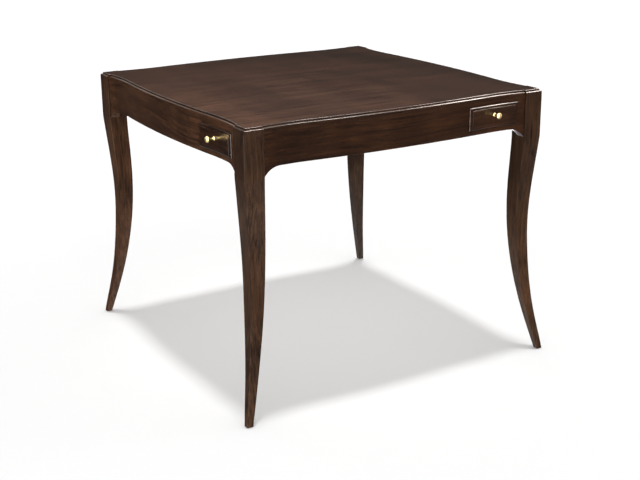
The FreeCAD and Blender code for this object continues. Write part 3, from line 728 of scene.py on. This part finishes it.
def driven(node):
    """Where a CAD node's screws are: the middle of each one's head, and the direction it is driven in."""
    shape = bmesh.new()
    shape.from_mesh(nodes[node].data)
    bmesh.ops.remove_doubles(shape, verts=shape.verts, dist=SAME_POINT)
    places = []
    left = set(shape.verts)
    while left:
        screw, reached = set(), {min(left, key=lambda v: v.index)}
        while reached:
            screw |= reached
            reached = {e.other_vert(v) for v in reached for e in v.link_edges} - screw
        left -= screw
        spans = [(min(v.co[k] for v in screw), max(v.co[k] for v in screw)) for k in range(3)]
        axis = max(range(3), key=lambda k: spans[k][1] - spans[k][0])
        at_ends = [[v for v in screw if abs(v.co[axis] - end) < 0.1 * MM] for end in spans[axis]]
        widths = [max((v.co - w.co).length for v in end for w in end) for end in at_ends]
        head = 0 if widths[0] > widths[1] else 1
        place = Vector([(low + high) / 2 for low, high in spans])
        place[axis] = spans[axis][head]
        aim = Vector((0, 0, 0))
        aim[axis] = 1 - 2 * head
        places.append((place, aim))
    shape.free()
    return places


SCREW = screw_tree()
WOOD_SCREW = {
    "face_radius": 4.0, "neck_radius": 1.6, "head_height": 2.2, "core_radius": 1.5, "length": 30.0,
    "point_length": 4.0, "thread_pitch": 2.0, "thread_depth": 0.45,
    "recess_length": 4.2, "recess_width": 0.9, "recess_depth": 1.3,
}
KNOB_SCREW = {
    "face_radius": 3.5, "neck_radius": 4.0, "head_height": 2.4, "core_radius": 1.5, "length": 32.2,
    "point_length": 0.5, "thread_pitch": 0.9, "thread_depth": 0.22,
    "recess_length": 4.4, "recess_width": 1.0, "recess_depth": 1.4,
}
NAIL = nail_tree()
GLIDE = {
    "head_radius": 5.5, "head_height": 1.5, "rim_ease": 0.5, "shank_radius": 1.4, "shank_length": 12.0,
}
BRAD = {
    "head_radius": 0.8, "head_height": 0.375, "rim_ease": 0.125, "shank_radius": 0.5, "shank_length": 8.6,
}
BRAD_PROUD = 0.06
FRONT_BRAD_HEIGHTS, BACK_BRAD_HEIGHTS = (686.0, 703.0, 720.0), (698.0, 718.0)


def glide_places():
    """The middle of each foot, on the floor."""
    corners = [(x * FOOT_MIDDLE, y * FOOT_MIDDLE, 0) for x, y in ((-1, -1), (1, -1), (1, 1), (-1, 1))]
    return [(Vector(corner) * MM, Vector((0, 0, 1))) for corner in corners]


def brad_places(quarters):
    """Three brads through each side into a drawer's front, and two into its back."""
    left, right = FRONT_LEFT + PLUG_INSET, FRONT_RIGHT - PLUG_INSET
    in_front, in_back = (REBATE_Y + FRONT_BACK_Y) / 2, DRAWER_REAR_Y - SIDE_THICKNESS / 2
    turn = Matrix.Rotation(quarters * QUARTER, 3, "Z")
    places = []
    for x, inwards in ((left - BRAD_PROUD, 1), (right + BRAD_PROUD, -1)):
        aim = turn @ Vector((inwards, 0, 0))
        for y, heights in ((in_front, FRONT_BRAD_HEIGHTS), (in_back, BACK_BRAD_HEIGHTS)):
            places += [(turn @ (Vector((x, y, z)) * MM), aim) for z in heights]
    return places


# Groups of pieces that some lights are for
groups = {
    name: bpy.data.collections.new(name) for name in (
        "top_field_only", "mouldings", "fronts_along_x", "fronts_along_y", "brass_knobs", "south_apron",
        "legs")
}


def grouped(made, *names):
    for name in names:
        groups[name].objects.link(made)


for number, corner in enumerate(CORNERS):
    leg, block = "leg_" + corner, "corner_block_" + corner
    nodes[leg].data.materials.clear()
    coated(nodes[leg].data, LEG_WALNUT[corner])
    grouped(nodes[leg], "legs")
    piece("planed_" + block, coated(eased(block, 0.8), RUNNER_MAPLE["xy"[number % 2]]),
          "table", "runner_maple", block)

veneered = piece("veneered_top", coated(top_field(), VENEER), "table", "walnut_veneer", "top_panel")
grouped(veneered, "top_field_only")
lipping = piece("top_lipping", coated(top_lipping(), VENEER), "table", "walnut_veneer", "top_panel")
grouped(lipping, "mouldings")
piece("wood_screws", grown(SCREW, driven("fixing_screws"), STEEL, **WOOD_SCREW),
      "table", "zinc_steel", "fixing_screws")
piece("nailed_glides", grown(NAIL, glide_places(), NYLON, **GLIDE), "table", "glide_nylon", "foot_glides")

edge, apron, front, knob = moulded_edge(), shaped_apron(), fielded_front(), turned_knob()
for number, side in enumerate(SIDES):
    along, across = ("x", "y") if number % 2 == 0 else ("y", "x")
    drawer = "drawer_" + side
    coats = [APRON_WALNUT[along], LEG_WALNUT[CORNERS[number]], LEG_WALNUT[CORNERS[(number + 1) % 4]]]
    moulded = piece("moulded_edge_" + side, coated(quarter_turned(edge, number), *coats),
                    "table", "stained_walnut", "top_edge_" + side)
    grouped(moulded, "mouldings")
    shaped = piece("shaped_apron_" + side, coated(quarter_turned(apron, number), APRON_WALNUT[along]),
                   "table", "stained_walnut", "apron_" + side)
    if side == "south":
        grouped(shaped, "south_apron")
    fielded = piece("fielded_front_" + side, coated(quarter_turned(front, number), DRAWER_WALNUT[along]),
                    drawer, "stained_walnut", "drawer_front_" + side)
    grouped(fielded, "mouldings", "fronts_along_" + along)
    turned = piece("turned_knob_" + side, coated(quarter_turned(knob, number), BRASS),
                   drawer, "polished_brass", "knob_" + side)
    grouped(turned, "brass_knobs")
    # Each board's finish, node, eased arris in millimetres, material, body and slot
    boards = [
        ("planed_", "stop_rail_" + side, 0.8, RUNNER_MAPLE[along], "table", "runner_maple"),
        ("sanded_", "drawer_back_" + side, 0.8, DRAWER_MAPLE[along], drawer, "drawer_maple"),
        ("sanded_", "drawer_bottom_" + side, 0.3, PLYWOOD, drawer, "drawer_plywood"),
    ]
    for hand in ("left_", "right_"):
        boards += [
            ("planed_", "runner_" + hand + side, 0.8, RUNNER_MAPLE[across], "table", "runner_maple"),
            ("sanded_", "drawer_side_" + hand + side, 0.5, DRAWER_MAPLE[across], drawer, "drawer_maple"),
        ]
    for finish, node, ease, material, body, slot in boards:
        piece(finish + node, coated(eased(node, ease), material), body, slot, node)
    piece("knob_machine_screw_" + side, grown(SCREW, driven("knob_screw_" + side), STEEL, **KNOB_SCREW),
          drawer, "zinc_steel", "knob_screw_" + side)
    piece("drawer_brads_" + side, grown(NAIL, brad_places(number), STEEL, **BRAD), drawer, "zinc_steel")


def floor():
    """A pale matt floor, wide enough to meet the surround near the horizon."""
    reach = 60.0
    mesh = bpy.data.meshes.new("floor")
    corners = [(-reach, -reach, 0), (reach, -reach, 0), (reach, reach, 0), (-reach, reach, 0)]
    mesh.from_pydata(corners, [], [(0, 1, 2, 3)])
    sheet = bpy.data.objects.new("floor", mesh)
    scene.collection.objects.link(sheet)
    coated(mesh, surfaced(new_material("floor_paint")[0], {
        "Base Color": tone("#e7e7e7"), "Roughness": 0.9, "Specular IOR Level": 0.0}))
    sheet.visible_glossy = False
    sheet.visible_shadow = False


def light(name, kind, energy, place, aim, **settings):
    """A light at a place, which shines towards its aim and is not seen itself."""
    data = bpy.data.lights.new(name, kind)
    data.energy = energy
    for key, value in settings.items():
        setattr(data, key, value)
    lamp = bpy.data.objects.new(name, data)
    scene.collection.objects.link(lamp)
    away = Vector(place) - Vector(aim)
    lamp.matrix_world = Matrix.Translation(place) @ away.to_track_quat("Z", "Y").to_matrix().to_4x4()
    lamp.visible_camera = False
    return lamp


def lights():
    """A soft light overhead, panels that show only as reflections, and lights for some pieces alone."""
    overhead = light("overhead", "SUN", 1.45, (0, 0, 4), (0, 0, 0), angle=math.radians(6))
    overhead.visible_glossy = False
    # Radiance, colour, place, aim, width and length in metres, and the pieces that show it. Broad flat
    # faces are left out, which would go white from the side that a panel mirrors.
    panels = {
        "east_panel": (38.0, "#fff2ea", (2.4, -1.09, 2.78), (0.0, -0.45, 0.76), 1.3, 1.2, "mouldings"),
        "south_panel": (46.0, "#fff2ea", (3.5, -4.95, 8.95), (0.0, -0.45, 0.76), 2.6, 3.2, "mouldings"),
        "north_panel": (0.8, "#fff2ea", (0.1, 2.6, 2.1), (-0.45, 0.0, 0.76), 2.2, 1.2, "mouldings"),
        "west_panel": (3.0, "#fff2ea", (-3.0, -1.2, 0.1), (-0.45, -0.4, 0.7), 2.6, 1.0, "legs"),
        "low_panel": (8.0, "#f4f4ff", (1.1, 1.7, -0.85), (0.38, -0.45, 0.64), 2.2, 1.2, "south_apron"),
    }
    # Panels just behind the plane of a drawer's front, which only its rounded ends can show. They shine
    # through the frame beside it.
    end_panels = {
        "west_end_panel": (
            42.0, "#fff0ee", (-3.6, 0.5, 0.1), (0.21, -0.46, 0.7), 1.6, 1.4, "fronts_along_x"),
        "south_end_panel": (
            60.0, "#fff0ee", (-0.1, -3.7, 0.1), (-0.46, -0.38, 0.7), 1.0, 1.4, "fronts_along_y"),
    }
    for name, (radiance, colour, place, aim, wide, tall, shown_by) in (panels | end_panels).items():
        panel = light(name, "AREA", radiance * math.pi * wide * tall, place, aim,
                      shape="RECTANGLE", size=wide, size_y=tall, color=tone(colour)[:3])
        panel.visible_diffuse = False
        panel.data.use_shadow = name in panels
        panel.light_linking.receiver_collection = groups[shown_by]
    # A lamp over the near corner brightens the top towards it
    lamp = light("near_lamp", "AREA", 36.0, (-1.0, -0.7, 1.5), (-0.3, -0.3, 0.76), size=0.5)
    lamp.visible_glossy = False
    lamp.light_linking.receiver_collection = groups["top_field_only"]
    # Two wide soft lights for the brass alone, which would otherwise mirror a dark room
    for name, energy, place in (
            ("knob_light_front", 15.0, (-3.0, -2.6, 1.6)), ("knob_light_back", 5.0, (2.0, 2.0, 2.0))):
        lamp = light(name, "SUN", energy, place, (0, 0, 0),
                     angle=math.radians(140), color=tone("#fff4e2")[:3])
        lamp.light_linking.receiver_collection = groups["brass_knobs"]


def surround():
    """An even white surround that lights the table, and a darker one that its lacquer mirrors."""
    world = bpy.data.worlds.new("studio")
    scene.world = world
    # The surround is even enough to need no map of its bright parts
    world.cycles.sampling_method = "NONE"
    world.use_nodes = True
    tree = world.node_tree
    tree.nodes.clear()
    direction = add(tree, "ShaderNodeTexCoord").outputs["Generated"]
    height = add(tree, "ShaderNodeSeparateXYZ", {"Vector": direction}).outputs["Z"]
    # From 0 straight down to 1 straight up, with the horizon at 0.5
    share = add(tree, "ShaderNodeMapRange", {"Value": height, "From Min": -1.0, "From Max": 1.0})
    white = add(tree, "ShaderNodeValToRGB", {"Fac": share}, stops=[
        (0.47, "#000000"), (0.49, "#ffffff"), (0.78, "#ffffff"), (0.88, "#000000")])
    mirror = add(tree, "ShaderNodeValToRGB", {"Fac": share}, stops=[
        (0.0, "#cacaca"), (0.24, "#aaaaaa"), (0.34, "#353535"), (0.5, "#242424"),
        (0.575, "#202020"), (0.592, "#343434"), (0.612, "#585858"), (1.0, "#8c8c8c")])
    # A little stronger towards the south-east
    sideways = add(tree, "ShaderNodeVectorMath", {
        0: direction, 1: (0.3, -0.2, 0.0)}, operation="DOT_PRODUCT").outputs["Value"]
    strength = add(tree, "ShaderNodeMath", {0: sideways, 1: 2.0}, operation="ADD")
    lit = add(tree, "ShaderNodeBackground", {"Color": white, "Strength": strength})
    seen = add(tree, "ShaderNodeBackground", {"Color": mirror, "Strength": 1.0})
    glossy = add(tree, "ShaderNodeLightPath").outputs["Is Glossy Ray"]
    mixed = add(tree, "ShaderNodeMixShader", {0: glossy, 1: lit, 2: seen})
    add(tree, "ShaderNodeOutputWorld", {"Surface": mixed})


def camera():
    data = bpy.data.cameras.new("camera")
    data.lens = CAMERA_LENS
    data.sensor_width = CAMERA_SENSOR
    eye = bpy.data.objects.new("camera", data)
    scene.collection.objects.link(eye)
    turn = Matrix.Rotation(math.radians(CAMERA_AZIMUTH), 4, "Z")
    tilt = Matrix.Rotation(math.radians(90 - CAMERA_ELEVATION), 4, "X")
    roll = Matrix.Rotation(math.radians(CAMERA_ROLL), 4, "Z")
    eye.matrix_world = Matrix.Translation(CAMERA_PLACE) @ turn @ tilt @ roll
    scene.camera = eye


floor()
lights()
surround()
camera()
scene.view_settings.view_transform = "Standard"
